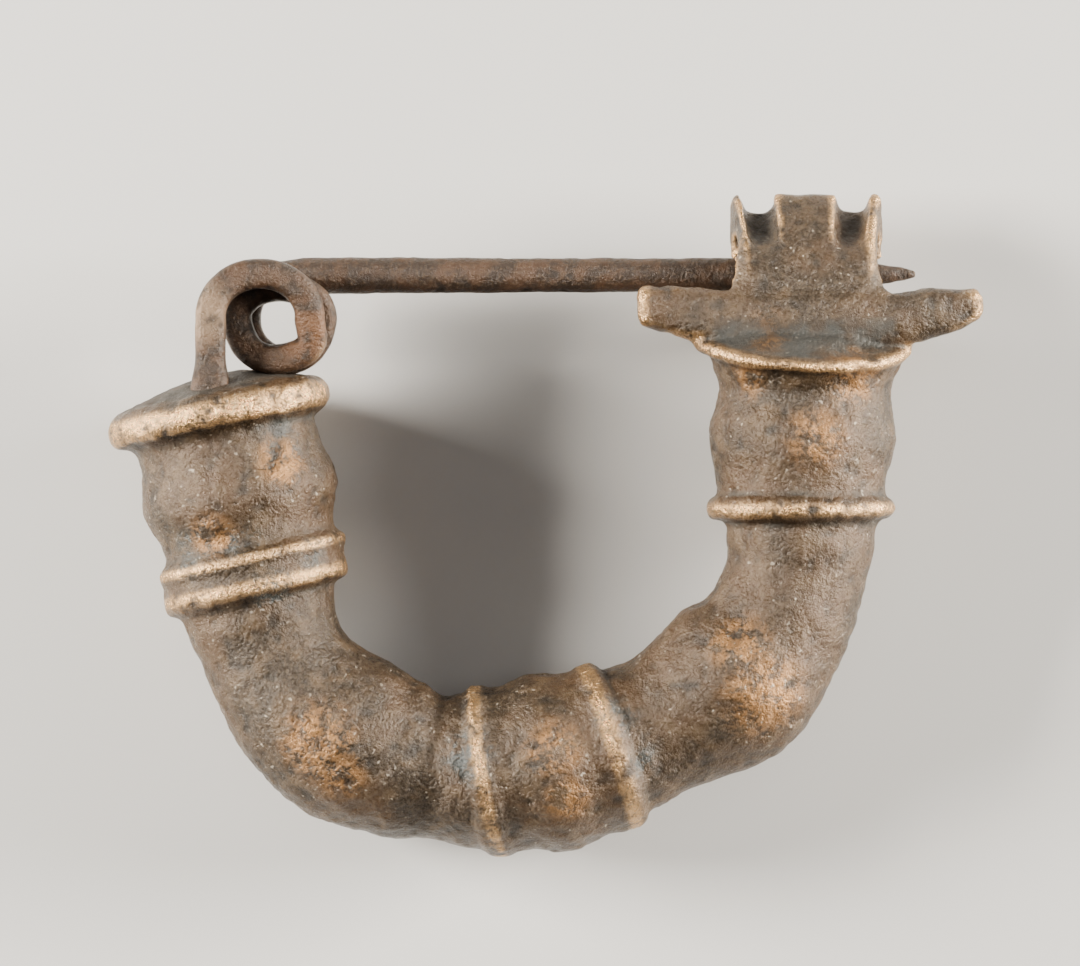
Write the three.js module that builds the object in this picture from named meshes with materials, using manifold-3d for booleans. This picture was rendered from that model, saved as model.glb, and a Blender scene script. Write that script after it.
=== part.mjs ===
// A bow brooch (fibula) of cast bronze: a thick bow with turned beads and rings between two
// abaci, a horned catch on the right abacus, and a wire spring and pin set in the left one.
//
// Millimetres. The brooch lies on its back: +X runs from the spring to the catch, +Y from the
// bow to the pin, +Z is up. Every form is drawn about the bow's own mid-plane (z = 0), and the
// whole is then tipped a little, so that both abaci and the middle bead touch the surface.

import * as THREE from 'three';
import { mergeVertices } from 'three/addons/utils/BufferGeometryUtils.js';
import Module from 'manifold-3d';

// The bow's axis: where it sets out, its heading in degrees, and its runs one after another.
const BOW_START = new THREE.Vector2(-18.7, 6.35);
const BOW_HEADING = -72.3;
const BOW_RUNS = [
  { length: 10.2, turn: -11 }, // left arm
  { length: 3.9, turn: 17 },
  { length: 7.6, turn: 42 }, // left elbow
  { length: 7.5, turn: 28 },
  { length: 14.0, turn: 31.5 }, // middle
  { length: 4.2, turn: 24.5 }, // right elbow
  { length: 7.0, turn: 31 },
  { length: 10.3, turn: -7 }, // right arm
];

// Turning points of the bow's thickness along its axis. tilt turns a section in the bow's
// plane, lean tips its front edge along the axis, both in degrees.
const BOW_SECTIONS = [
  { at: 0.0, radius: 5.1, tilt: -6, lean: 0 }, // inside the left abacus
  { at: 2.0, radius: 5.16, tilt: -4, lean: 0 }, // neck
  { at: 4.8, radius: 5.64, tilt: -1, lean: 0 }, // left bead
  { at: 7.3, radius: 4.93, tilt: 3, lean: 0 }, // neck
  { at: 9.2, radius: 5.25, tilt: 5, lean: 0 }, // channel between the ring pair
  { at: 11.4, radius: 4.35, tilt: 5, lean: 0 }, // foot of the ring pair
  { at: 13.5, radius: 4.05, tilt: 0, lean: 0 }, // waist
  { at: 20.8, radius: 4.93, tilt: 0, lean: 0 }, // left swell
  { at: 23.9, radius: 4.54, tilt: 0, lean: 0 }, // its shoulder
  { at: 26.0, radius: 4.1, tilt: 3, lean: -3 }, // waist
  { at: 27.9, radius: 4.46, tilt: 6.5, lean: -5 }, // step beside the ring
  { at: 30.3, radius: 4.76, tilt: 6, lean: -4 }, // groove
  { at: 32.4, radius: 5.2, tilt: 2, lean: 0 }, // middle bead
  { at: 35.0, radius: 4.78, tilt: 0, lean: 3 }, // groove
  { at: 37.4, radius: 4.25, tilt: -2, lean: 3 }, // step beside the ring
  { at: 38.8, radius: 4.06, tilt: 0, lean: 0 }, // waist
  { at: 44.3, radius: 4.91, tilt: 0, lean: 0 }, // right swell
  { at: 48.2, radius: 4.19, tilt: 0, lean: 0 }, // its shoulder
  { at: 51.0, radius: 4.0, tilt: 0, lean: 0 }, // waist
  { at: 53.6, radius: 4.27, tilt: 0, lean: 0 }, // foot of the ring
  { at: 55.9, radius: 4.84, tilt: 0, lean: 0 }, // neck
  { at: 59.3, radius: 5.36, tilt: 0, lean: 0 }, // right bead
  { at: 61.8, radius: 4.88, tilt: 5, lean: -4 }, // neck
  { at: 64.0, radius: 5.5, tilt: 7, lean: -12 }, // inside the right abacus
];

// Raised rings around the bow: place on the axis, crest radius and half width.
const RINGS = [
  { at: 8.4, crest: 5.47, halfWidth: 0.5 },
  { at: 10.0, crest: 5.3, halfWidth: 0.75 },
  { at: 28.95, crest: 5.0, halfWidth: 0.75 },
  { at: 36.0, crest: 4.97, halfWidth: 0.85 },
  { at: 54.97, crest: 5.43, halfWidth: 0.7 },
];

const BOW_SIDES = 28;
const BOW_STEP = 1.3; // spacing of the sections between the rings

// Abaci: discs turned on the axis, profile as radius and height above the rim's middle.
const LEFT_ABACUS = {
  centre: new THREE.Vector3(-18.65, 6.35, 0),
  tilt: 11.8,
  lean: 0,
  profile: [
    [0, -1.6], [5.0, -1.6], [5.35, -1.0], [6.2, -0.65], [6.43, -0.25], [6.43, 0.3], [6.25, 0.75],
    [5.8, 1.12], [5.0, 1.38], [4.0, 1.66], [3.1, 1.95], [1.5, 2.25], [0, 2.4],
  ],
};
const RIGHT_ABACUS = {
  centre: new THREE.Vector3(14.65, 10.5, 0),
  tilt: -3,
  lean: 14,
  profile: [
    [0, -1.0], [4.6, -1.0], [5.6, -0.62], [6.15, -0.35], [6.37, -0.05], [6.33, 0.2], [6.0, 0.36],
    [4.9, 0.45], [3.9, 0.9], [0, 1.2],
  ],
};
const ABACUS_SIDES = 36;

// The bar in front of the pin that carries the catch and runs out into a horn on either side,
// by places along X with the section's lower and upper edges, back and front.
const HORN_BAR = [
  { x: 5.25, low: 11.95, high: 13.3, back: 0.75, front: 2.0 },
  { x: 5.5, low: 11.45, high: 13.68, back: 0.4, front: 2.35 },
  { x: 7.3, low: 10.95, high: 13.72, back: 0.2, front: 2.5 },
  { x: 9.0, low: 10.4, high: 13.5, back: -0.1, front: 2.6 },
  { x: 10.5, low: 10.15, high: 13.4, back: -0.3, front: 2.65 },
  { x: 15.0, low: 10.1, high: 13.5, back: -0.3, front: 2.75 },
  { x: 20.2, low: 10.25, high: 13.25, back: -0.3, front: 2.65 },
  { x: 21.7, low: 10.6, high: 13.5, back: 0.0, front: 2.55 },
  { x: 23.5, low: 11.1, high: 13.58, back: 0.25, front: 2.45 },
  { x: 24.7, low: 11.75, high: 13.55, back: 0.4, front: 2.35 },
  { x: 25.0, low: 12.15, high: 13.1, back: 0.75, front: 2.0 },
];
// The lower bed behind it, under the pin.
const CATCH_BED = [
  { x: 10.1, low: 10.5, high: 12.1, back: -2.5, front: 0.1 },
  { x: 10.9, low: 10.25, high: 12.55, back: -3.0, front: 0.4 },
  { x: 18.2, low: 10.25, high: 12.55, back: -3.0, front: 0.4 },
  { x: 19.0, low: 10.5, high: 12.1, back: -2.5, front: 0.1 },
];
const BAR_SIDES = 16;
const BAR_SQUARENESS = 2.8;

// The catch: a plate that rises from the bar, leans back, and folds over behind the pin. Its
// section is drawn as height and depth; each curve is the four points of a cubic.
const CATCH = {
  middle: 15.03,
  frontHalfWidth: 3.72,
  frontZ: 1.35,
  backHalfWidth: 4.41, // the plate widens towards the fold and the lip
  backZ: -3.35,
  front: [[12.0, 2.35], [14.2, 2.45], [17.1, 0.7], [18.95, -1.6]],
  fold: [[18.95, -1.6], [19.2, -2.3], [19.15, -3.35], [17.8, -3.35]],
  lip: [[16.5, -3.35], [15.35, -3.35], [15.35, -2.45]],
  crown: [[16.0, -2.45], [16.9, -2.45], [16.95, -1.6], [15.9, -0.6]],
  behind: [[14.9, 0.35], [13.6, 0.9], [12.0, 1.0]],
  edgeRounding: 0.22, // the faces are set back this much along the plate's side edges
};
// Where the plate's sides flare out into the horns.
const FLARE = { top: 14.2, height: 1.0, reach: 0.9 };
// Upright flutes in the plate: centre and half width as shares of the plate's half width, and
// depth at the fold.
const FLUTES = [
  { centre: -0.67, halfWidth: 0.235, depth: 1.2 },
  { centre: 0.62, halfWidth: 0.235, depth: 1.2 },
];
const FLUTE_START = 15.1; // the flutes fade in above this height
const FLUTE_FULL = 18.0;
const FLUTE_END = { height: 17.7, runOut: 0.9 }; // and out again down the back of the fold

// The spring: the wire rises from the left abacus and winds back in half turns. These are the
// outermost places of its middle line, left and right in turn.
const SPRING = {
  sides: [-19.03, -13.43, -17.3, -12.79, -17.12, -12.6],
  rises: [2.44, -2.44, 1.75, -2.44, 2.44], // height of each half turn over the coil's centre
  bulge: 0.55, // the lower right of the first turn stands out to meet the second
  centreY: 11.93,
  footY: 7.6,
  frontZ: 3.3,
  pitch: 2.05,
  quarters: 9, // quarter turns up to the pin
  fixedQuarters: 3, // the first ones stay with the bow
  splitGap: 0.45,
  footHalfAcross: 0.87, // half the wire's width in the turn's plane, at the foot
  halfAcross: 0.76, // and from the second half turn on
  halfAlong: 0.82, // half its width along the spring
  footSwell: 1.1, // how much wider the wire is where it leaves the abacus
  squareness: 3.2,
  stepsPerHalfTurn: 8,
};
const COIL_ROOM = 0.25; // the bow keeps this far from the moving part of the coil

// The pin, straight from the coil to its point: place along X and radius.
const PIN = [
  { x: -13.5, radius: 1.05 },
  { x: -11.6, radius: 1.05 },
  { x: -2.2, radius: 1.0 },
  { x: 16.8, radius: 0.92 },
  { x: 20.4, radius: 0.42 },
  { x: 21.15, radius: 0.22 },
  { x: 21.3, radius: 0.14 },
];
const PIN_POINT_Y = 14.45;
const WIRE_SIDES = 12;

// The three places that touch the surface the brooch lies on.
const REST_POINTS = [
  new THREE.Vector3(-18.65, 6.45, -6.43), // left abacus
  new THREE.Vector3(0.15, -13.55, -5.22), // middle bead
  new THREE.Vector3(14.73, 12.0, -6.2), // right abacus
];
const WORN_FLAT = 0.12; // depth rubbed off where it rests
const CENTRING = new THREE.Vector2(-0.015, -0.117); // brings the outline's centre to the origin

const radians = THREE.MathUtils.degToRad;
const up = new THREE.Vector3(0, 0, 1);

// ---------- closed surfaces from rows of points ----------

// Triangles that fill a loop, facing the way it turns.
function fillLoop(loop) {
  const normal = new THREE.Vector3();
  loop.forEach((point, k) => {
    normal.add(new THREE.Vector3().crossVectors(point, loop[(k + 1) % loop.length]));
  });
  const flatten = new THREE.Quaternion().setFromUnitVectors(normal.normalize(), up);
  const outline = loop.map((point) => {
    const flat = point.clone().applyQuaternion(flatten);
    return new THREE.Vector2(flat.x, flat.y);
  });
  return THREE.ShapeUtils.triangulateShape(outline, []);
}

// A closed body from loops of equal length, one after another. Each loop turns anticlockwise
// about the way the row of loops runs.
function closedSkin(loops) {
  const count = loops[0].length;
  const triangles = [];
  for (let row = 0; row + 1 < loops.length; row += 1) {
    for (let k = 0; k < count; k += 1) {
      const a = row * count + k;
      const b = row * count + ((k + 1) % count);
      triangles.push(a, b, a + count, b, b + count, a + count);
    }
  }
  const last = (loops.length - 1) * count;
  for (const [a, b, c] of fillLoop(loops[0])) {
    triangles.push(c, b, a);
  }
  for (const [a, b, c] of fillLoop(loops[loops.length - 1])) {
    triangles.push(last + a, last + b, last + c);
  }
  const geometry = new THREE.BufferGeometry();
  const positions = loops.flat().flatMap((point) => point.toArray());
  geometry.setAttribute('position', new THREE.Float32BufferAttribute(positions, 3));
  geometry.setIndex(triangles);
  return geometry;
}

// A squared-off circle: 2 is round, higher is squarer.
function squaredCircle(sides, squareness) {
  const points = [];
  for (let k = 0; k < sides; k += 1) {
    const angle = (2 * Math.PI * k) / sides;
    const c = Math.cos(angle);
    const s = Math.sin(angle);
    const power = 2 / squareness;
    points.push([Math.sign(c) * Math.abs(c) ** power, Math.sign(s) * Math.abs(s) ** power]);
  }
  return points;
}

const ease = (t) => (1 - Math.cos(Math.PI * THREE.MathUtils.clamp(t, 0, 1))) / 2;
const mix = THREE.MathUtils.lerp;

// ---------- joining ----------

const wasm = await Module();
wasm.setup();

function toSolid(geometry) {
  const bare = geometry.clone();
  bare.deleteAttribute('normal');
  bare.deleteAttribute('uv');
  const merged = mergeVertices(bare, 1e-5);
  return new wasm.Manifold(new wasm.Mesh({
    numProp: 3,
    vertProperties: new Float32Array(merged.attributes.position.array),
    triVerts: new Uint32Array(merged.index.array),
  }));
}

function toGeometry(solid) {
  const mesh = solid.getMesh();
  const geometry = new THREE.BufferGeometry();
  geometry.setAttribute('position', new THREE.BufferAttribute(mesh.vertProperties, 3));
  geometry.setIndex(new THREE.BufferAttribute(mesh.triVerts, 1));
  geometry.computeVertexNormals();
  return geometry;
}

// ---------- bow ----------

// The point and heading on the bow's axis at a distance along it.
function bowAxis(distance) {
  const point = BOW_START.clone();
  let heading = radians(BOW_HEADING);
  let left = distance;
  for (const run of BOW_RUNS) {
    const length = Math.min(left, run.length);
    const turn = (radians(run.turn) * length) / run.length;
    const half = turn / 2;
    const chord = length * (Math.sin(half) / half || 1);
    point.x += chord * Math.cos(heading + half);
    point.y += chord * Math.sin(heading + half);
    heading += turn;
    left -= length;
    if (left <= 0) break;
  }
  return { point, heading };
}

// Radius, tilt and lean of the bow's section at a distance along the axis.
function bowSection(distance) {
  const next = Math.max(1, BOW_SECTIONS.findIndex((section) => section.at >= distance));
  const a = BOW_SECTIONS[next - 1];
  const b = BOW_SECTIONS[next];
  const t = (distance - a.at) / (b.at - a.at);
  const base = mix(a.radius, b.radius, ease(t));
  const ringed = RINGS.map(({ at, crest, halfWidth }) => {
    const offset = Math.abs(distance - at) / halfWidth;
    return offset < 1 ? mix(base, crest, Math.sqrt(1 - offset ** 2)) : base;
  });
  return {
    radius: Math.max(base, ...ringed),
    tilt: radians(mix(a.tilt, b.tilt, t)),
    lean: radians(mix(a.lean, b.lean, t)),
  };
}

function bowLoop(distance) {
  const { point, heading } = bowAxis(distance);
  const { radius, tilt, lean } = bowSection(distance);
  const along = new THREE.Vector3(Math.cos(heading), Math.sin(heading), 0);
  const inward = new THREE.Vector3(-Math.sin(heading), Math.cos(heading), 0);
  const loop = [];
  for (let k = 0; k < BOW_SIDES; k += 1) {
    const angle = (2 * Math.PI * k) / BOW_SIDES;
    const shift = Math.tan(lean) * Math.sin(angle) - Math.tan(tilt) * Math.cos(angle);
    loop.push(new THREE.Vector3(point.x, point.y, 0)
      .addScaledVector(inward, radius * Math.cos(angle))
      .addScaledVector(up, radius * Math.sin(angle))
      .addScaledVector(along, radius * shift));
  }
  return loop;
}

// Places of the bow's sections: close together on each ring, evenly spaced between them.
function bowStations() {
  const last = BOW_SECTIONS[BOW_SECTIONS.length - 1].at;
  const onRing = [-1, -0.72, 0, 0.72, 1];
  const clear = BOW_STEP / 3;
  const stations = RINGS.flatMap((ring) => onRing.map((u) => ring.at + u * ring.halfWidth));
  const count = Math.round(last / BOW_STEP);
  for (let k = 0; k <= count; k += 1) {
    const at = (last * k) / count;
    if (RINGS.every((ring) => Math.abs(at - ring.at) > ring.halfWidth + clear)) {
      stations.push(at);
    }
  }
  return stations.sort((a, b) => a - b);
}

function abacus({ centre, tilt, lean, profile }) {
  const points = profile.map(([radius, height]) => new THREE.Vector2(radius, height));
  const geometry = new THREE.LatheGeometry(points, ABACUS_SIDES);
  const pose = new THREE.Matrix4().makeRotationFromEuler(
    new THREE.Euler(radians(lean), 0, radians(tilt), 'ZXY'),
  );
  return geometry.applyMatrix4(pose.setPosition(centre));
}

// ---------- catch and horns ----------

function crossBar(stations) {
  const section = squaredCircle(BAR_SIDES, BAR_SQUARENESS);
  return closedSkin(stations.map(({ x, low, high, back, front }) => (
    section.map(([c, s]) => new THREE.Vector3(
      x,
      (low + high) / 2 + ((high - low) / 2) * c,
      (back + front) / 2 + ((front - back) / 2) * s,
    ))
  )));
}

// A cubic through the plate's section: height in x, depth in y.
function sectionCurve(points, steps) {
  const curve = new THREE.CubicBezierCurve(...points.map((point) => new THREE.Vector2(...point)));
  return curve.getPoints(steps);
}

// The catch's outer face at a share of its half width: up the front, over the fold and down
// the lip, with the flutes cut and the side edges rounded.
function catchOutline(across) {
  const upFront = sectionCurve(CATCH.front, 9);
  const points = [
    ...upFront,
    ...sectionCurve(CATCH.fold, 6).slice(1),
    ...CATCH.lip.slice(0, 2).map((point) => new THREE.Vector2(...point)),
  ];
  const rounding = CATCH.edgeRounding * Math.max(0, (Math.abs(across) - 0.92) / 0.08);
  return points.map((point, k) => {
    const before = points[Math.max(k - 1, 0)];
    const after = points[Math.min(k + 1, points.length - 1)];
    const normal = new THREE.Vector2(before.y - after.y, after.x - before.x).normalize();
    const cut = fluteDepth(across, point.x, k >= upFront.length) + rounding;
    return point.clone().addScaledVector(normal, -cut);
  });
}

// How deep a flute cuts at a place across the plate and a height, on its front or its back.
function fluteDepth(across, height, onBack) {
  const rise = onBack
    ? ease((height - FLUTE_END.height) / FLUTE_END.runOut)
    : ease((height - FLUTE_START) / (FLUTE_FULL - FLUTE_START));
  return FLUTES.reduce((sum, { centre, halfWidth, depth }) => {
    const offset = Math.abs(across - centre) / halfWidth;
    return sum + (offset < 1 ? depth * rise * Math.sqrt(1 - offset ** 2) : 0);
  }, 0);
}

// The catch's hollow face, from the lip's end up under the fold and down to the foot.
function catchHollow() {
  return [
    new THREE.Vector2(...CATCH.lip[2]),
    ...sectionCurve(CATCH.crown, 5),
    ...CATCH.behind.map((point) => new THREE.Vector2(...point)),
  ];
}

function catchHalfWidth(y, z) {
  const { frontHalfWidth, frontZ, backHalfWidth, backZ } = CATCH;
  const toBack = THREE.MathUtils.clamp((frontZ - z) / (frontZ - backZ), 0, 1);
  const toFoot = THREE.MathUtils.clamp((FLARE.top - y) / FLARE.height, 0, 1);
  const flare = FLARE.reach * (1 - Math.sqrt(1 - toFoot ** 2));
  return mix(frontHalfWidth, backHalfWidth, toBack) + flare;
}

function catchPlate() {
  const acrossFlute = [-1, -0.8, -0.35, 0.35, 0.8, 1];
  const places = [-1, -0.96, 0, 0.92, 1];
  for (const { centre, halfWidth } of FLUTES) {
    places.push(...acrossFlute.map((u) => centre + u * halfWidth));
  }
  const hollow = catchHollow();
  const loops = places.sort((a, b) => b - a).map((across) => (
    [...catchOutline(across), ...hollow].map(({ x: y, y: z }) => (
      new THREE.Vector3(CATCH.middle + across * catchHalfWidth(y, z), y, z)
    ))
  ));
  return closedSkin(loops);
}

// ---------- spring and pin ----------

// The spring's middle line by quarter turns: 0 is where the rising foot reaches the coil's
// level on the left, 1 the top of the first turn, 2 its right side, and so on.
function springPoint(quarters) {
  const { sides, rises, bulge, centreY, frontZ, pitch } = SPRING;
  const half = Math.min(Math.floor(quarters / 2), rises.length - 1);
  const t = quarters / 2 - half;
  const standsOut = half === 1 && t < 0.5 ? bulge * Math.sin(2 * Math.PI * t) ** 2 : 0;
  const x = mix(sides[half], sides[half + 1], ease(t)) + standsOut;
  const y = centreY + rises[half] * Math.sin(Math.PI * t);
  return new THREE.Vector3(x, y, frontZ - (pitch * quarters) / 4);
}

// A skin of the wire along stations of { point, tangent, across, along, squareness }.
function wireSkin(stations) {
  const loops = stations.map(({ point, tangent, across, along, squareness }) => {
    const axial = up.clone().addScaledVector(tangent, -up.dot(tangent)).normalize();
    const outward = new THREE.Vector3().crossVectors(axial, tangent);
    return squaredCircle(WIRE_SIDES, squareness).map(([c, s]) => point.clone()
      .addScaledVector(outward, across * c)
      .addScaledVector(axial, along * s));
  });
  return closedSkin(loops);
}

// Stations of the coil between two places, grown all round by a margin.
function springStations(from, to, margin = 0) {
  const { footHalfAcross, halfAcross, halfAlong, squareness, stepsPerHalfTurn } = SPRING;
  const count = Math.round(((to - from) / 2) * stepsPerHalfTurn);
  const nearby = 0.01;
  const narrowing = { from: 1, over: 1.5 };
  const stations = [];
  for (let k = 0; k <= count; k += 1) {
    const quarters = mix(from, to, k / count);
    const tangent = springPoint(quarters + nearby).sub(springPoint(quarters)).normalize();
    const narrowed = ease((quarters - narrowing.from) / narrowing.over);
    stations.push({
      point: springPoint(quarters),
      tangent,
      across: mix(footHalfAcross, halfAcross, narrowed) + margin,
      along: halfAlong + margin,
      squareness,
    });
  }
  return stations;
}

// The foot and the first part of the coil, which stay with the bow.
function springRoot() {
  const { sides, footY, frontZ, centreY, footHalfAcross, halfAlong, footSwell } = SPRING;
  const foot = [0, 0.35, 0.7].map((t) => ({
    point: new THREE.Vector3(sides[0], mix(footY, centreY, t), frontZ),
    tangent: new THREE.Vector3(0, 1, 0),
    across: footHalfAcross * mix(footSwell, 1, t),
    along: halfAlong * mix(footSwell, 1, t),
    squareness: SPRING.squareness,
  }));
  return wireSkin([...foot, ...springStations(0, SPRING.fixedQuarters)]);
}

// The place a gap's width beyond the fixed part of the coil, in quarter turns.
function beyondFixed(gap) {
  return SPRING.fixedQuarters + gap / ((Math.PI / 2) * SPRING.rises[0]);
}

// The rest of the coil and the pin, which turn together.
function springAndPin() {
  const { quarters } = SPRING;
  const start = springPoint(quarters);
  const point = PIN[PIN.length - 1];
  const shaft = PIN.map(({ x, radius }) => {
    const y = mix(start.y, PIN_POINT_Y, (x - start.x) / (point.x - start.x));
    return {
      point: new THREE.Vector3(x, y, start.z),
      tangent: new THREE.Vector3(1, 0, 0),
      across: radius,
      along: radius,
      squareness: 2,
    };
  });
  return wireSkin([...springStations(beyondFixed(SPRING.splitGap), quarters), ...shaft]);
}

// ---------- the brooch ----------

// Lying on its back: the mid-plane is tipped so that all three rest points touch.
function lyingGroup() {
  const group = new THREE.Group();
  const support = new THREE.Plane().setFromCoplanarPoints(...REST_POINTS);
  group.quaternion.setFromUnitVectors(support.normal, up);
  const lowest = REST_POINTS[0].clone().applyQuaternion(group.quaternion).z;
  group.position.set(CENTRING.x, CENTRING.y, -lowest - WORN_FLAT);
  group.updateMatrixWorld();
  return group;
}

// Everything below the surface that the brooch lies on, in the group's own frame.
function belowSurface(group) {
  const size = 100;
  const block = new THREE.BoxGeometry(size, size, size);
  block.translate(0, 0, -size / 2);
  return toSolid(block.applyMatrix4(group.matrixWorld.clone().invert()));
}

function bowAndCatch(group) {
  const parts = [
    abacus(LEFT_ABACUS),
    abacus(RIGHT_ABACUS),
    crossBar(HORN_BAR),
    crossBar(CATCH_BED),
    catchPlate(),
    springRoot(),
  ];
  const bow = toSolid(closedSkin(bowStations().map(bowLoop)));
  const joined = parts.reduce((solid, part) => solid.add(toSolid(part)), bow);
  const roomStart = beyondFixed(SPRING.splitGap - COIL_ROOM);
  const coilRoom = wireSkin(springStations(roomStart, SPRING.quarters, COIL_ROOM));
  return toGeometry(joined.subtract(belowSurface(group)).subtract(toSolid(coilRoom)));
}

const bronze = new THREE.MeshStandardMaterial({ color: 0x6b5138, roughness: 0.5, metalness: 0.85 });
const pinBronze = new THREE.MeshStandardMaterial({ color: 0x5e3f2a, roughness: 0.6, metalness: 0.8 });

const brooch = lyingGroup();

const bowMesh = new THREE.Mesh(bowAndCatch(brooch), bronze);
bowMesh.name = 'bow_and_catch';
brooch.add(bowMesh);

const pinMesh = new THREE.Mesh(springAndPin(), pinBronze);
pinMesh.name = 'spring_and_pin';
brooch.add(pinMesh);

export default brooch;
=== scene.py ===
"""Looks of the bow brooch: one piece of cast bronze, and one wire that is spring and pin.

The forms are those of the CAD at a finer step. They are drawn in millimetres about the bow's
own mid-plane (z = 0, x from the spring to the catch, y from the bow to the pin), remeshed,
given their casting skin and wear, and then laid down as the CAD lies.
"""

import math
from itertools import product

import bpy
import numpy as np
from mathutils import Matrix, Vector
from mathutils.kdtree import KDTree


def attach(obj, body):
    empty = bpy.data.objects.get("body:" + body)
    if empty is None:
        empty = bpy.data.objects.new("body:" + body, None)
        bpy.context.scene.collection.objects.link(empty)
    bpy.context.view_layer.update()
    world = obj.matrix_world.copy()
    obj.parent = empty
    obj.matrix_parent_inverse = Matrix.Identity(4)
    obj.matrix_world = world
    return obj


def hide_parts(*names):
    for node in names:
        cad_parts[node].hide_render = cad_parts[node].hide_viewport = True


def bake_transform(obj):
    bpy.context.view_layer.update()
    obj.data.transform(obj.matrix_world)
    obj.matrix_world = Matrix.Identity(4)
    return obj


MM = 0.001
UP = np.array([0.0, 0.0, 1.0])

# ---------- the bow ----------

BOW_START = (-18.7, 6.35)
BOW_HEADING = -72.3
# Runs of the bow's axis: length, and turn in degrees.
BOW_RUNS = [
    (10.2, -11), (3.9, 17), (7.6, 42), (7.5, 28), (14.0, 31.5), (4.2, 24.5), (7.0, 31),
    (10.3, -7),
]
# Turning points of the thickness: place on the axis, radius, tilt and lean in degrees.
BOW_SECTIONS = [
    (0.0, 5.1, -6, 0), (2.0, 5.16, -4, 0), (4.8, 5.64, -1, 0), (7.3, 4.93, 3, 0),
    (9.2, 5.25, 5, 0), (11.4, 4.35, 5, 0), (13.5, 4.05, 0, 0), (20.8, 4.93, 0, 0),
    (23.9, 4.54, 0, 0), (26.0, 4.1, 3, -3), (27.9, 4.46, 6.5, -5), (30.3, 4.76, 6, -4),
    (32.4, 5.2, 2, 0), (35.0, 4.78, 0, 3), (37.4, 4.25, -2, 3), (38.8, 4.06, 0, 0),
    (44.3, 4.91, 0, 0), (48.2, 4.19, 0, 0), (51.0, 4.0, 0, 0), (53.6, 4.27, 0, 0),
    (55.9, 4.84, 0, 0), (59.3, 5.36, 0, 0), (61.8, 4.88, 5, -4), (64.0, 5.5, 7, -12),
]
# Raised rings: place on the axis, crest radius, half width.
RINGS = [
    (8.4, 5.47, 0.5), (10.0, 5.3, 0.75), (28.95, 5.0, 0.75), (36.0, 4.97, 0.85),
    (54.97, 5.43, 0.7),
]
BOW_STEP = 0.12
BOW_SIDES = 160

# ---------- the abaci ----------

LEFT_ABACUS = {
    "centre": (-18.65, 6.35, 0), "tilt": 11.8, "lean": 0,
    "profile": [
        (0.01, -1.6), (5.0, -1.6), (5.35, -1.0), (6.2, -0.65), (6.43, -0.25), (6.43, 0.3),
        (6.25, 0.75), (5.8, 1.12), (5.0, 1.38), (4.0, 1.66), (3.1, 1.95), (1.5, 2.25), (0.01, 2.4),
    ],
}
RIGHT_ABACUS = {
    "centre": (14.65, 10.5, 0), "tilt": -3, "lean": 14,
    "profile": [
        (0.01, -1.0), (4.6, -1.0), (5.6, -0.62), (6.15, -0.35), (6.37, -0.05), (6.33, 0.2),
        (6.0, 0.36), (4.9, 0.45), (3.9, 0.9), (0.01, 1.2),
    ],
}
ABACUS_SIDES = 180

# ---------- the horns and the catch ----------

# Stations along x: lower and upper edge, back and front.
HORN_BAR = [
    (5.25, 11.95, 13.3, 0.75, 2.0), (5.5, 11.45, 13.68, 0.4, 2.35), (7.3, 10.95, 13.72, 0.2, 2.5),
    (9.0, 10.4, 13.5, -0.1, 2.6), (10.5, 10.15, 13.4, -0.3, 2.65), (15.0, 10.1, 13.5, -0.3, 2.75),
    (20.2, 10.25, 13.25, -0.3, 2.65), (21.7, 10.6, 13.5, 0.0, 2.55), (23.5, 11.1, 13.58, 0.25, 2.45),
    (24.7, 11.75, 13.55, 0.4, 2.35), (25.0, 12.15, 13.1, 0.75, 2.0),
]
CATCH_BED = [
    (10.1, 10.5, 12.1, -2.5, 0.1), (10.9, 10.25, 12.55, -3.0, 0.4),
    (18.2, 10.25, 12.55, -3.0, 0.4), (19.0, 10.5, 12.1, -2.5, 0.1),
]
BAR_SIDES = 48
BAR_SQUARENESS = 2.8

# The catch plate's section as height and depth; each curve is the four points of a cubic.
CATCH = {
    "middle": 15.03, "front_half_width": 3.72, "front_z": 1.35,
    "back_half_width": 4.41, "back_z": -3.35, "edge_rounding": 0.22,
    "front": [(12.0, 2.35), (14.2, 2.45), (17.1, 0.7), (18.95, -1.6)],
    "fold": [(18.95, -1.6), (19.2, -2.3), (19.15, -3.35), (17.8, -3.35)],
    "lip": [(16.5, -3.35), (15.35, -3.35), (15.35, -2.45)],
    "crown": [(16.0, -2.45), (16.9, -2.45), (16.95, -1.6), (15.9, -0.6)],
    "behind": [(14.9, 0.35), (13.6, 0.9), (12.0, 1.0)],
}
FLARE = {"top": 14.2, "height": 1.0, "reach": 0.9}
# Flutes: centre and half width as shares of the plate's half width, depth at the fold.
FLUTES = [(-0.67, 0.235, 1.2), (0.62, 0.235, 1.2)]
FLUTE_START = 15.1
FLUTE_FULL = 18.0
FLUTE_END = {"height": 17.7, "run_out": 0.9}

# ---------- the wire ----------

SPRING_SIDES = [-19.03, -13.43, -17.6, -12.79, -17.2, -12.6]
SPRING_RISES = [2.44, -2.44, 1.75, -2.44, 2.44]
SPRING_BULGE = 0.55
SPRING_CENTRE_Y = 11.93
SPRING_FOOT_Y = 7.6
SPRING_FRONT_Z = 3.3
SPRING_PITCH = 2.05
SPRING_QUARTERS = 9
FOOT_HALF_ACROSS = 0.87
HALF_ACROSS = 0.85
HALF_ALONG = 0.93
FOOT_SWELL = 1.3
WIRE_SQUARENESS = 3.2
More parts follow.
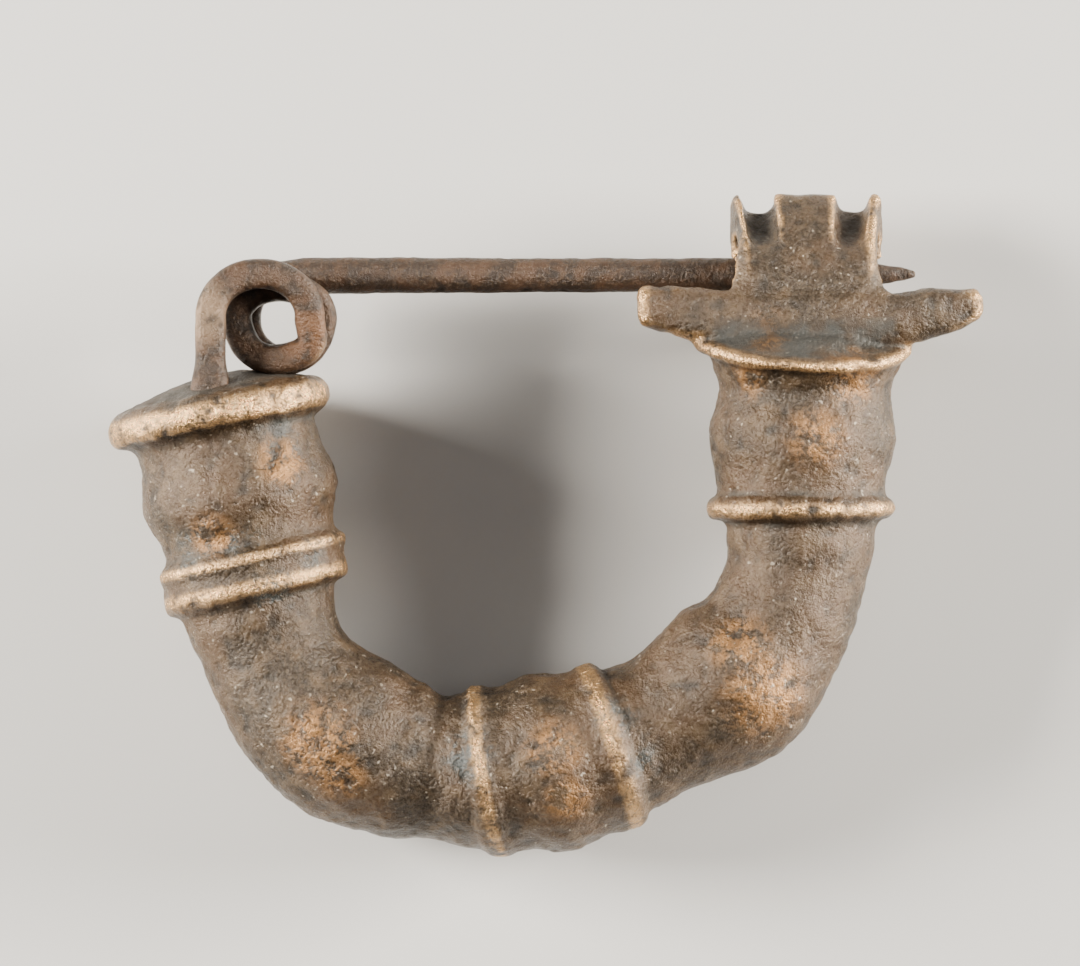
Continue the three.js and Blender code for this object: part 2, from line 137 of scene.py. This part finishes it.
# The pin: place along x and radius.
PIN = [
    (-13.5, 1.05), (-11.6, 1.05), (-2.2, 1.0), (16.8, 0.92), (20.4, 0.42), (21.15, 0.22),
    (21.3, 0.14),
]
PIN_POINT_Y = 14.45
WIRE_STEP = 0.12
WIRE_SIDES = 44

# ---------- lying down ----------

REST_POINTS = [(-18.65, 6.45, -6.43), (0.15, -13.55, -5.22), (14.73, 12.0, -6.2)]
WORN_FLAT = 0.12
CENTRING = (-0.015, -0.117)

# ---------- the skin of the casting ----------

# Copper-coloured patches on the front: x, y and reach.
COPPER_SPOTS = [
    (-12.9, -12.2, 3.0), (-11.6, -14.0, 2.0), (12.4, -9.6, 3.4), (11.0, -6.6, 2.4), (9.6, -4.6, 1.6),
    (0.4, -12.6, 2.2), (1.2, -15.4, 1.8), (15.2, 5.0, 2.4), (12.6, 11.6, 2.4), (17.6, 8.6, 2.4),
    (-18.8, -0.4, 1.8), (-15.0, 3.6, 2.0), (11.0, 8.2, 1.8),
]
# Blue-grey corrosion on the front, in the same way.
VERDIGRIS_SPOTS = [
    (-20.8, -1.6, 1.9), (-17.0, -1.0, 1.6), (-12.6, -1.6, 1.8), (-14.4, 5.2, 2.0), (-4.4, -13.0, 2.2),
    (4.0, -10.6, 1.8), (18.9, 11.6, 1.8), (-15.6, -3.6, 1.8), (11.3, 17.0, 1.8), (5.6, -13.4, 1.4),
]

CAST_VOXEL = 0.198
SEED = 41


# ================= numbers =================


def ease(t):
    return (1 - np.cos(np.pi * np.clip(t, 0, 1))) / 2


def mix(a, b, t):
    return a + (b - a) * t


def ramp(values, low, high):
    """0 below low, 1 above high, smooth between them."""
    t = np.clip((values - low) / (high - low), 0, 1)
    return t * t * (3 - 2 * t)


def noise(points, size, seed):
    """Smooth value noise from -1 to 1 with lumps of that size."""
    period = 37
    lattice = np.random.default_rng(seed).uniform(-1, 1, (period, period, period))
    scaled = points / size
    cell = np.floor(scaled).astype(int)
    part = scaled - cell
    part = part * part * (3 - 2 * part)
    total = np.zeros(len(points))
    for corner in product((0, 1), repeat=3):
        corner = np.array(corner)
        weight = np.prod(np.where(corner == 1, part, 1 - part), axis=1)
        index = (cell + corner) % period
        total += weight * lattice[index[:, 0], index[:, 1], index[:, 2]]
    return total


def cubic(points, steps):
    a, b, c, d = (np.array(p, float) for p in points)
    t = np.linspace(0, 1, steps + 1)[:, None]
    u = 1 - t
    return u**3 * a + 3 * u * u * t * b + 3 * u * t * t * c + t**3 * d


def unit(vectors):
    return vectors / np.linalg.norm(vectors, axis=-1, keepdims=True)


# ================= skins =================


def skin(loops):
    """Points and faces of a closed body from loops of equal length."""
    rows, count = len(loops), len(loops[0])
    faces = []
    for row in range(rows - 1):
        for k in range(count):
            a = row * count + k
            b = row * count + (k + 1) % count
            faces.append((a, b, b + count, a + count))
    faces.append(tuple(reversed(range(count))))
    faces.append(tuple(range((rows - 1) * count, rows * count)))
    return np.concatenate(loops), faces


def squared_circle(sides, squareness):
    angle = np.linspace(0, 2 * np.pi, sides, endpoint=False)
    c, s = np.cos(angle), np.sin(angle)
    power = 2 / squareness
    return np.sign(c) * np.abs(c) ** power, np.sign(s) * np.abs(s) ** power


def bow_axis(distance):
    """Point and heading of the bow's axis at a distance along it."""
    x, y = BOW_START
    heading = math.radians(BOW_HEADING)
    left = distance
    for run_length, run_turn in BOW_RUNS:
        length = min(left, run_length)
        half = math.radians(run_turn) * length / run_length / 2
        chord = length * (math.sin(half) / half if half else 1)
        x += chord * math.cos(heading + half)
        y += chord * math.sin(heading + half)
        heading += 2 * half
        left -= length
        if left <= 0:
            break
    return x, y, heading


def bow_section(distance):
    """Radius, tilt and lean of the bow at a distance along its axis."""
    after = next((k for k, s in enumerate(BOW_SECTIONS) if s[0] >= distance), -1)
    after = max(after, 1) if after >= 0 else len(BOW_SECTIONS) - 1
    a, b = BOW_SECTIONS[after - 1], BOW_SECTIONS[after]
    t = (distance - a[0]) / (b[0] - a[0])
    radius = base = mix(a[1], b[1], ease(t))
    for at, crest, half_width in RINGS:
        offset = abs(distance - at) / half_width
        if offset < 1:
            radius = max(radius, mix(base, crest, math.sqrt(1 - offset**2)))
    return radius, math.radians(mix(a[2], b[2], t)), math.radians(mix(a[3], b[3], t))


def bow_skin():
    angle = np.linspace(0, 2 * np.pi, BOW_SIDES, endpoint=False)
    c, s = np.cos(angle), np.sin(angle)
    loops = []
    for distance in np.arange(0, BOW_SECTIONS[-1][0], BOW_STEP):
        x, y, heading = bow_axis(distance)
        radius, tilt, lean = bow_section(distance)
        along = np.array([math.cos(heading), math.sin(heading), 0])
        inward = np.array([-math.sin(heading), math.cos(heading), 0])
        shift = math.tan(lean) * s - math.tan(tilt) * c
        loop = np.outer(c, inward) + np.outer(s, UP) + np.outer(shift, along)
        loops.append(np.array([x, y, 0]) + radius * loop)
    return skin(loops)


def abacus_skin(abacus):
    angle = np.linspace(0, 2 * np.pi, ABACUS_SIDES, endpoint=False)
    loops = [
        np.stack([r * np.sin(angle), np.full(ABACUS_SIDES, h), r * np.cos(angle)], axis=1)
        for r, h in abacus["profile"]
    ]
    points, faces = skin(loops)
    lean = Matrix.Rotation(math.radians(abacus["lean"]), 3, "X")
    tilt = Matrix.Rotation(math.radians(abacus["tilt"]), 3, "Z")
    return points @ np.array(tilt @ lean).T + np.array(abacus["centre"]), faces


def bar_skin(bar):
    """A bar through its stations, with the sections between them eased."""
    table = np.array(bar)
    steps = [0.0, 0.15, 0.3, 0.45, 0.6, 0.75, 0.9]
    c, s = squared_circle(BAR_SIDES, BAR_SQUARENESS)
    stations = [mix(a, b, t) for a, b in zip(table[:-1], table[1:]) for t in steps] + [table[-1]]
    loops = []
    for x, low, high, back, front in stations:
        loops.append(np.stack([
            np.full(BAR_SIDES, x),
            (low + high) / 2 + (high - low) / 2 * c,
            (back + front) / 2 + (front - back) / 2 * s,
        ], axis=1))
    return skin(loops)


def flute_depth(across, height, on_back):
    front_rise = ease((height - FLUTE_START) / (FLUTE_FULL - FLUTE_START))
    back_rise = ease((height - FLUTE_END["height"]) / FLUTE_END["run_out"])
    rise = np.where(on_back, back_rise, front_rise)
    depth = np.zeros(len(height))
    for centre, half_width, deepest in FLUTES:
        offset = abs(across - centre) / half_width
        if offset < 1:
            depth += deepest * rise * math.sqrt(1 - offset**2)
    return depth


def catch_half_width(y, z):
    to_back = np.clip((CATCH["front_z"] - z) / (CATCH["front_z"] - CATCH["back_z"]), 0, 1)
    to_foot = np.clip((FLARE["top"] - y) / FLARE["height"], 0, 1)
    flare = FLARE["reach"] * (1 - np.sqrt(1 - to_foot**2))
    return mix(CATCH["front_half_width"], CATCH["back_half_width"], to_back) + flare


def catch_skin():
    """The plate: up the front, over the fold, down the lip, and back up under the fold."""
    lip = np.array(CATCH["lip"], float)
    up_front = cubic(CATCH["front"], 40)
    face = np.concatenate([up_front, cubic(CATCH["fold"], 20)[1:], lip[:2]])
    hollow = np.concatenate([lip[2:], cubic(CATCH["crown"], 12), np.array(CATCH["behind"])])
    ahead = np.concatenate([face[1:], face[-1:]])
    behind = np.concatenate([face[:1], face[:-1]])
    run = unit(ahead - behind)
    normal = np.stack([-run[:, 1], run[:, 0]], axis=1)
    on_back = np.arange(len(face)) >= len(up_front)
    loops = []
    for across in np.linspace(1, -1, 121):
        rounding = CATCH["edge_rounding"] * max(0, (abs(across) - 0.92) / 0.08) ** 2
        cut = flute_depth(across, face[:, 0], on_back) + rounding
        y, z = np.concatenate([face - normal * cut[:, None], hollow]).T
        x = CATCH["middle"] + across * catch_half_width(y, z)
        loops.append(np.stack([x, y, z], axis=1))
    return skin(loops)


def spring_point(quarters):
    """The spring's middle line by quarter turns from the top of the foot."""
    half = min(int(quarters // 2), len(SPRING_RISES) - 1)
    t = quarters / 2 - half
    x = mix(SPRING_SIDES[half], SPRING_SIDES[half + 1], ease(t))
    if half == 1 and t < 0.5:
        x += SPRING_BULGE * math.sin(2 * math.pi * t) ** 2
    y = SPRING_CENTRE_Y + SPRING_RISES[half] * math.sin(math.pi * t)
    return np.array([x, y, SPRING_FRONT_Z - SPRING_PITCH * quarters / 4])


def wire_skin():
    """Foot, coil and pin as one skin."""
    stations = []
    for t in np.linspace(0, 0.95, 30):
        point = np.array([SPRING_SIDES[0], mix(SPRING_FOOT_Y, SPRING_CENTRE_Y, t), SPRING_FRONT_Z])
        swell = mix(FOOT_SWELL, 1, ease(t * 2.2))
        stations.append((point, FOOT_HALF_ACROSS * swell, HALF_ALONG * swell, WIRE_SQUARENESS))
    for quarters in np.arange(0, SPRING_QUARTERS, 0.04):
        across = mix(FOOT_HALF_ACROSS, HALF_ACROSS, ease((quarters - 1) / 1.5))
        stations.append((spring_point(quarters), across, HALF_ALONG, WIRE_SQUARENESS))
    start = spring_point(SPRING_QUARTERS)
    end = PIN[-1][0]
    places = np.arange(start[0] + 1.0, end, WIRE_STEP)
    radii = np.interp(places, [p[0] for p in PIN], [p[1] for p in PIN])
    for x, radius in zip(places, radii):
        y = mix(start[1], PIN_POINT_Y, (x - start[0]) / (end - start[0]))
        stations.append((np.array([x, y, start[2]]), radius, radius, 2))
    points = np.array([station[0] for station in stations])
    tangents = unit(np.gradient(points, axis=0))
    loops = []
    for (point, across, along, squareness), tangent in zip(stations, tangents):
        axial = unit(UP - tangent * tangent[2])
        outward = np.cross(axial, tangent)
        c, s = squared_circle(WIRE_SIDES, squareness)
        loops.append(point + np.outer(across * c, outward) + np.outer(along * s, axial))
    return skin(loops)


# ================= meshes =================


def mesh_object(name, skins):
    """One mesh object from several skins, in millimetres."""
    points, faces, start = [], [], 0
    for skin_points, skin_faces in skins:
        points.append(skin_points)
        faces += [tuple(k + start for k in face) for face in skin_faces]
        start += len(skin_points)
    mesh = bpy.data.meshes.new(name)
    mesh.from_pydata(np.concatenate(points).tolist(), [], faces)
    piece = bpy.data.objects.new(name, mesh)
    bpy.context.scene.collection.objects.link(piece)
    return piece


def remesh(piece, voxel):
    """Joins overlapping skins into one surface of even, small faces."""
    modifier = piece.modifiers.new("remesh", "REMESH")
    modifier.mode = "VOXEL"
    modifier.voxel_size = voxel
    graph = bpy.context.evaluated_depsgraph_get()
    mesh = bpy.data.meshes.new_from_object(piece.evaluated_get(graph))
    piece.modifiers.clear()
    piece.data = mesh


def read(mesh):
    points = np.empty(len(mesh.vertices) * 3)
    mesh.vertices.foreach_get("co", points)
    edges = np.empty(len(mesh.edges) * 2, dtype=np.int32)
    mesh.edges.foreach_get("vertices", edges)
    return points.reshape(-1, 3), edges.reshape(-1, 2)


def write(mesh, points):
    mesh.vertices.foreach_set("co", points.ravel())
    mesh.update()


def normals(mesh):
    values = np.empty(len(mesh.vertices) * 3)
    mesh.vertex_normals.foreach_get("vector", values)
    return values.reshape(-1, 3)


def neighbour_mean(values, edges):
    count = len(values)
    total = np.zeros_like(values)
    for a, b in ((0, 1), (1, 0)):
        for axis in range(values.shape[1]):
            total[:, axis] += np.bincount(edges[:, a], values[edges[:, b], axis], count)
    degree = np.bincount(edges.ravel(), minlength=count)
    return total / np.maximum(degree, 1)[:, None]


def smoothed(values, edges, rounds, strength=0.6):
    for _ in range(rounds):
        values = mix(values, neighbour_mean(values, edges), strength)
    return values


def set_attribute(mesh, name, values):
    attribute = mesh.attributes.new(name, "FLOAT", "POINT")
    attribute.data.foreach_set("value", values.astype(np.float32))


def set_place(mesh, points):
    """Keeps where each point lies in millimetres at rest, for the materials."""
    attribute = mesh.attributes.new("place", "FLOAT_VECTOR", "POINT")
    attribute.data.foreach_set("vector", points.astype(np.float32).ravel())


def pits(points, count, radii, depth, seed):
    """Depth of scattered round pits at each point; depth is a share of a pit's radius."""
    rng = np.random.default_rng(seed)
    tree = KDTree(len(points))
    for k, point in enumerate(points):
        tree.insert(point, k)
    tree.balance()
    result = np.zeros(len(points))
    for centre in rng.integers(0, len(points), count):
        radius = radii[0] * (radii[1] / radii[0]) ** rng.random() ** 1.5
        deepest = depth * radius * rng.uniform(0.5, 1.0)
        for _, k, distance in tree.find_range(points[centre], radius):
            result[k] = max(result[k], deepest * (1 - (distance / radius) ** 2) ** 1.5)
    return result


def ring_wear(points):
    """1 along the crests of the bow's rings."""
    wear = np.zeros(len(points))
    for at, crest, half_width in RINGS:
        x, y, heading = bow_axis(at)
        _, tilt, lean = bow_section(at)
        from_axis = points - np.array([x, y, 0])
        inward = from_axis @ np.array([-math.sin(heading), math.cos(heading), 0])
        along = from_axis @ np.array([math.cos(heading), math.sin(heading), 0])
        offset = along - math.tan(lean) * from_axis[:, 2] + math.tan(tilt) * inward
        radius = np.hypot(inward, from_axis[:, 2])
        on_crest = ramp(-np.abs(offset), -0.6 * half_width, -0.2 * half_width)
        near = ramp(radius, crest - 0.35, crest - 0.12) * (radius < crest + 1)
        wear = np.maximum(wear, on_crest * near)
    return wear


def on_abacus(points, abacus):
    """Radius and height of each point about an abacus's own axis."""
    turn = Matrix.Rotation(math.radians(abacus["tilt"]), 3, "Z")
    turn = np.array(turn @ Matrix.Rotation(math.radians(abacus["lean"]), 3, "X"))
    local = (points - np.array(abacus["centre"])) @ turn
    return np.hypot(local[:, 0], local[:, 2]), local[:, 1]


def rim_wear(points, abacus, inner):
    """1 on the outer edge of an abacus, from that radius out."""
    radius, height = on_abacus(points, abacus)
    return ramp(radius, inner, inner + 0.3) * ramp(-np.abs(height), -1.0, -0.5) * (radius < 8)


def abacus_top_shade(points, abacus, outer):
    """1 on the top of an abacus inside that radius, for painted shade there."""
    radius, height = on_abacus(points, abacus)
    return ramp(-radius, -outer, 0.5 - outer) * ramp(height, 0.2, 0.45) * (height < 2.6)


def horn_end_wear_and_highlight(points):
    """1 on the two ends of the horns: their wear, and a painted highlight on the end facets."""
    first, last = HORN_BAR[0][0], HORN_BAR[-1][0]
    reach = np.abs(points[:, 0] - (first + last) / 2) - (last - first) / 2
    return ramp(reach, -0.75, -0.3) * ramp(points[:, 1], 10.9, 11.3)


def lying_pose():
    """The turn and shift from the bow's mid-plane frame to the surface it lies on."""
    a, b, c = (Vector(point) for point in REST_POINTS)
    support = (c - b).cross(a - b).normalized()
    turn = support.rotation_difference(Vector(UP)).to_matrix()
    lowest = (turn @ a).z
    return turn, Vector((CENTRING[0], CENTRING[1], -lowest - WORN_FLAT))


TURN, SHIFT = lying_pose()


def lay_down(piece):
    """Puts a finished mesh where the CAD lies, in metres, with its resting places worn flat."""
    points, _ = read(piece.data)
    points = points @ np.array(TURN).T + np.array(SHIFT)
    points[:, 2] = np.maximum(points[:, 2], 0)
    write(piece.data, points * MM)
    piece.data.polygons.foreach_set("use_smooth", [True] * len(piece.data.polygons))


def laid(x, y, z):
    """A point of the bow's frame in the row frame, in metres."""
    return (TURN @ Vector((x, y, z)) + SHIFT) * MM


# ================= pieces =================


def make_casting(material):
    """Bow, abaci, horns and catch, cast in one."""
    piece = mesh_object("bow_and_catch_cast", [
        bow_skin(),
        abacus_skin(LEFT_ABACUS),
        abacus_skin(RIGHT_ABACUS),
        bar_skin(HORN_BAR),
        bar_skin(CATCH_BED),
        catch_skin(),
    ])
    remesh(piece, CAST_VOXEL)
    mesh = piece.data
    points, edges = read(mesh)
    points = smoothed(points, edges, 2, 0.5)
    write(mesh, points)
    outward = normals(mesh)
    stands_out = np.einsum("ij,ij->i", points - smoothed(points, edges, 14), outward)

    lumps = 0.05 * noise(points, 3.6, SEED) + 0.045 * noise(points, 1.7, SEED + 1)
    grain = 0.05 * noise(points, 0.9, SEED + 2) + 0.065 * noise(points, 0.5, SEED + 3)
    sunk = pits(points, 700, (0.15, 0.34), 0.25, SEED + 4)
    write(mesh, points + outward * (lumps + grain - sunk)[:, None])

    set_place(mesh, points)
    # Wear on crests, rings and rims; on the horn ends also a painted highlight.
    worn = np.maximum.reduce([
        ramp(stands_out, 0.05, 0.12),
        ring_wear(points),
        rim_wear(points, LEFT_ABACUS, 5.95),
        rim_wear(points, RIGHT_ABACUS, 6.0),
        horn_end_wear_and_highlight(points),
    ])
    set_attribute(mesh, "crest", worn)
    # Hollows and abacus tops: real blue-grey patina, and painted shade where they are darkened.
    hollow_patina_and_shade_share = np.maximum.reduce([
        ramp(-stands_out, 0.03, 0.10),
        # Abacus tops: painted shade in the band between rim and bar.
        0.8 * abacus_top_shade(points, LEFT_ABACUS, 5.7),
        abacus_top_shade(points, RIGHT_ABACUS, 5.9) * ramp(-points[:, 1], -12.1, -11.4),
    ])
    set_attribute(mesh, "hollow_patina_and_shade", hollow_patina_and_shade_share)
    set_attribute(mesh, "pit", ramp(sunk - grain, 0.015, 0.08))
    mesh.materials.append(material)
    lay_down(piece)
    return piece


def make_wire(material):
    """Spring and pin, one wire from the left abacus to its point."""
    piece = mesh_object("spring_and_pin_wire", [wire_skin()])
    mesh = piece.data
    points, edges = read(mesh)
    outward = normals(mesh)
    stands_out = np.einsum("ij,ij->i", points - smoothed(points, edges, 25), outward)
    rough = 0.03 * noise(points, 1.1, SEED + 7) + 0.018 * noise(points, 0.45, SEED + 8)
    sunk = pits(points, 260, (0.2, 0.5), 0.2, SEED + 9)
    write(mesh, points + outward * (rough - sunk)[:, None])
    set_place(mesh, points)
    set_attribute(mesh, "crest", ramp(stands_out, 0.12, 0.3))
    set_attribute(mesh, "hollow_patina_and_shade", ramp(-stands_out, 0.02, 0.1))
    set_attribute(mesh, "pit", ramp(sunk - rough, 0.01, 0.06))
    mesh.materials.append(material)
    lay_down(piece)
    return piece


# ================= materials =================


class Nodes:
    """A short way to write a node tree."""

    def __init__(self, name):
        self.material = bpy.data.materials.new(name)
        self.material.use_nodes = True
        self.tree = self.material.node_tree
        self.shader = self.tree.nodes["Principled BSDF"]

    def add(self, kind, inputs=None, **settings):
        node = self.tree.nodes.new(kind)
        for key, value in settings.items():
            setattr(node, key, value)
        for key, value in (inputs or {}).items():
            self.put(node.inputs[key], value)
        return node

    def put(self, socket, value):
        if isinstance(value, bpy.types.NodeSocket):
            self.tree.links.new(value, socket)
        else:
            socket.default_value = value

    def attribute(self, name):
        return self.add("ShaderNodeAttribute", attribute_name=name)

    def noise(self, size, detail=4.0, roughness=0.55, place=None):
        """Noise with lumps of that size in millimetres."""
        node = self.add("ShaderNodeTexNoise", {
            "Vector": place or self.attribute("place").outputs["Vector"],
            "Scale": 1 / size, "Detail": detail, "Roughness": roughness,
        })
        return node.outputs["Fac"]

    def math(self, operation, a, b=0.0, clamp=False):
        node = self.add("ShaderNodeMath", {0: a, 1: b}, operation=operation, use_clamp=clamp)
        return node.outputs["Value"]

    def band(self, value, low, high):
        """0 below low, 1 above high."""
        node = self.add("ShaderNodeMapRange", {
            "Value": value, "From Min": low, "From Max": high,
        }, interpolation_type="SMOOTHSTEP")
        return node.outputs["Result"]

    def blend(self, share, a, b):
        """Colour a where share is 0, b where it is 1."""
        node = self.add("ShaderNodeMix", {0: share, 6: a, 7: b}, data_type="RGBA")
        return node.outputs[2]

    def spots(self, places):
        """1 at any of the places, each x, y and reach."""
        shown = 0.0
        for x, y, reach in places:
            shown = self.math("MAXIMUM", self.spot(x, y, reach), shown)
        return shown

    def spot(self, x, y, radius):
        """1 at a place on the front, fading to 0 at that radius, in millimetres."""
        place = self.attribute("place").outputs["Vector"]
        apart = self.add("ShaderNodeVectorMath", {0: place, 1: (x, y, 4.5)}, operation="DISTANCE")
        return self.band(apart.outputs["Value"], radius, radius * 0.3)


def colour(red, green, blue):
    return (red, green, blue, 1.0)


def gloss(n, fine, rubbed, dullness, base):
    """Roughness that varies from grain to grain, lower where rubbed, and the fine bumps."""
    rough = n.math("ADD", n.math("MULTIPLY", n.band(fine, 0.35, 0.65), 0.22), base)
    rough = n.math("SUBTRACT", rough, n.math("MULTIPLY", rubbed, 0.08))
    rough = n.math("ADD", rough, n.math("MULTIPLY", dullness, 0.3), clamp=True)
    n.put(n.shader.inputs["Roughness"], rough)
    coarse = n.math("MULTIPLY", n.noise(0.42, detail=3), 0.8)
    grain = n.math("ADD", n.math("MULTIPLY", fine, 1.0), coarse)
    bump = n.add("ShaderNodeBump", {"Height": grain, "Strength": 1.0, "Distance": 0.12 * MM})
    n.put(n.shader.inputs["Normal"], bump.outputs["Normal"])


def metal(n, rubbed, least):
    """Bare metal where rubbed, mostly patina elsewhere."""
    share = n.math("ADD", n.math("MULTIPLY", rubbed, 0.95 - least), least, clamp=True)
    n.put(n.shader.inputs["Metallic"], share)
    n.shader.inputs["Specular IOR Level"].default_value = 0.55


def cast_bronze():
    """Brown patina with copper patches, blue-grey patina and painted shade in the hollows, painted
    glints, and pale rubbed crests, with a painted highlight on the horn ends.
    """
    n = Nodes("cast_bronze")
    crest = n.attribute("crest").outputs["Fac"]
    hollow_patina_and_shade = n.attribute("hollow_patina_and_shade").outputs["Fac"]
    pit = n.attribute("pit").outputs["Fac"]
    broad = n.noise(5.0)
    middle = n.noise(1.3)
    fine = n.noise(0.2, detail=4, roughness=0.65)

    patina = n.blend(n.band(broad, 0.38, 0.62), colour(0.040, 0.026, 0.014), colour(0.084, 0.047, 0.022))
    patina = n.blend(n.band(middle, 0.48, 0.7), patina, colour(0.108, 0.069, 0.036))
    grains = n.band(fine, 0.5, 0.64)
    patina = n.blend(n.math("MULTIPLY", grains, 0.5), patina, colour(0.15, 0.108, 0.066))
    flecks = n.math("ADD", n.math("MULTIPLY", n.noise(0.9), 0.6), n.math("MULTIPLY", fine, 0.4))
    copper = n.math("MULTIPLY", n.spots(COPPER_SPOTS), n.band(flecks, 0.44, 0.54))
    patina = n.blend(n.math("MULTIPLY", copper, 0.8), patina, colour(0.36, 0.185, 0.07))
    green = n.math("MULTIPLY", n.spots(VERDIGRIS_SPOTS), n.band(flecks, 0.56, 0.46))
    patina = n.blend(n.math("MULTIPLY", green, 0.7), patina, colour(0.075, 0.092, 0.094))
    # Pale specks in highlight colour all over: painted glints.
    painted_glints = n.band(n.noise(0.33, detail=1), 0.70, 0.76)
    patina = n.blend(n.math("MULTIPLY", painted_glints, 0.7), patina, colour(0.5, 0.43, 0.34))
    dull = n.math("MULTIPLY", hollow_patina_and_shade, n.band(n.noise(2.2), 0.36, 0.56))
    patina = n.blend(n.math("MULTIPLY", dull, 0.6), patina, colour(0.07, 0.085, 0.085))
    # Near-black in pits, and painted shade in the hollows.
    dark = n.math("MAXIMUM", n.math("MULTIPLY", pit, 0.75), n.math("MULTIPLY", hollow_patina_and_shade, 0.4))
    patina = n.blend(dark, patina, colour(0.018, 0.014, 0.010))
    # Pale rubbed metal on the crests; on the horn ends it is also a painted highlight.
    rubbed = n.math("MULTIPLY", crest, n.band(flecks, 0.36, 0.52))
    rubbed = n.math("MULTIPLY", rubbed, n.math("SUBTRACT", 1.0, pit))
    n.put(n.shader.inputs["Base Color"], n.blend(rubbed, patina, colour(0.60, 0.37, 0.175)))
    metal(n, n.math("MAXIMUM", rubbed, n.math("MULTIPLY", copper, 0.6)), 0.3)
    gloss(n, fine, rubbed, hollow_patina_and_shade, 0.21)
    return n.material


def wire_bronze():
    """Rougher, redder patina of the drawn wire, with pale worn edges."""
    n = Nodes("wire_bronze")
    crest = n.attribute("crest").outputs["Fac"]
    pit = n.attribute("pit").outputs["Fac"]
    middle = n.noise(1.1)
    fine = n.noise(0.2, detail=4, roughness=0.65)
    patina = n.blend(n.band(middle, 0.38, 0.64), colour(0.032, 0.019, 0.011), colour(0.072, 0.036, 0.017))
    patina = n.blend(n.math("MULTIPLY", n.band(fine, 0.5, 0.64), 0.4), patina, colour(0.14, 0.088, 0.05))
    worn = n.math("MULTIPLY", n.spot(-19.8, 12.2, 2.6), n.band(middle, 0.3, 0.5))
    patina = n.blend(n.math("MULTIPLY", worn, 0.7), patina, colour(0.30, 0.20, 0.12))
    copper = n.math("MULTIPLY", n.spot(-13.2, 10.4, 3.4), n.band(middle, 0.34, 0.54))
    patina = n.blend(n.math("MULTIPLY", copper, 0.8), patina, colour(0.17, 0.075, 0.028))
    patina = n.blend(n.math("MULTIPLY", pit, 0.7), patina, colour(0.02, 0.014, 0.010))
    rubbed = n.math("MULTIPLY", crest, n.band(n.noise(0.8), 0.32, 0.55))
    n.put(n.shader.inputs["Base Color"], n.blend(rubbed, patina, colour(0.6, 0.43, 0.27)))
    metal(n, rubbed, 0.25)
    gloss(n, fine, rubbed, pit, 0.32)
    return n.material


# ================= the stage =================


def make_floor():
    mesh = bpy.data.meshes.new("floor")
    reach = 0.6
    corners = [(-reach, -reach, 0), (reach, -reach, 0), (reach, reach, 0), (-reach, reach, 0)]
    mesh.from_pydata(corners, [], [(0, 1, 2, 3)])
    floor = bpy.data.objects.new("floor", mesh)
    bpy.context.scene.collection.objects.link(floor)
    n = Nodes("floor_paper")
    n.shader.inputs["Base Color"].default_value = colour(0.72, 0.715, 0.70)
    n.shader.inputs["Roughness"].default_value = 0.9
    mesh.materials.append(n.material)


def soft_light(name, place, size, power, tint):
    """A square softbox at a place in the bow's frame, in millimetres, facing the brooch."""
    data = bpy.data.lights.new(name, "AREA")
    data.shape = "SQUARE"
    data.size = size * MM
    data.energy = power
    data.color = tint
    light = bpy.data.objects.new(name, data)
    bpy.context.scene.collection.objects.link(light)
    light.location = Vector(place) * MM
    light.rotation_euler = light.location.to_track_quat("Z", "Y").to_euler()


def make_lights():
    soft_light("left_light", (-330, 60, 150), 150, 5.4, (1.0, 0.94, 0.85))
    soft_light("right_light", (340, 60, 85), 150, 6.2, (1.0, 0.94, 0.85))
    soft_light("top_light", (0, 60, 460), 300, 0.25, (1.0, 1.0, 1.0))
    world = bpy.data.worlds.new("studio")
    world.use_nodes = True
    background = world.node_tree.nodes["Background"]
    background.inputs["Color"].default_value = colour(0.8, 0.82, 0.85)
    background.inputs["Strength"].default_value = 0.04
    bpy.context.scene.world = world


def make_camera():
    """Looks straight down on the bow's mid-plane."""
    distance = 400
    across = 61.85  # width of the view at the mid-plane
    data = bpy.data.cameras.new("camera")
    data.sensor_width = 36
    data.lens = 36 * distance / across
    camera = bpy.data.objects.new("camera", data)
    bpy.context.scene.collection.objects.link(camera)
    camera.matrix_world = Matrix.Translation(laid(-0.315, 2.46, distance)) @ TURN.to_4x4()
    bpy.context.scene.camera = camera


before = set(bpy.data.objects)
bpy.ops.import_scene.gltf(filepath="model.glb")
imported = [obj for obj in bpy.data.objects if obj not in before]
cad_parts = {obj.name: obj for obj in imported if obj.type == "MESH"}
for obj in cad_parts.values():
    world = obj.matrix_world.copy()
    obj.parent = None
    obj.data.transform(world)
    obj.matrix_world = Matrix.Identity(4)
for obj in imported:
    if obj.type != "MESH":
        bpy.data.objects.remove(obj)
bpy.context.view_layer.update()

casting = make_casting(cast_bronze())
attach(casting, "bow")
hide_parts("bow_and_catch")

wire = make_wire(wire_bronze())
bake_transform(wire)
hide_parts("spring_and_pin")

make_floor()
make_lights()
make_camera()
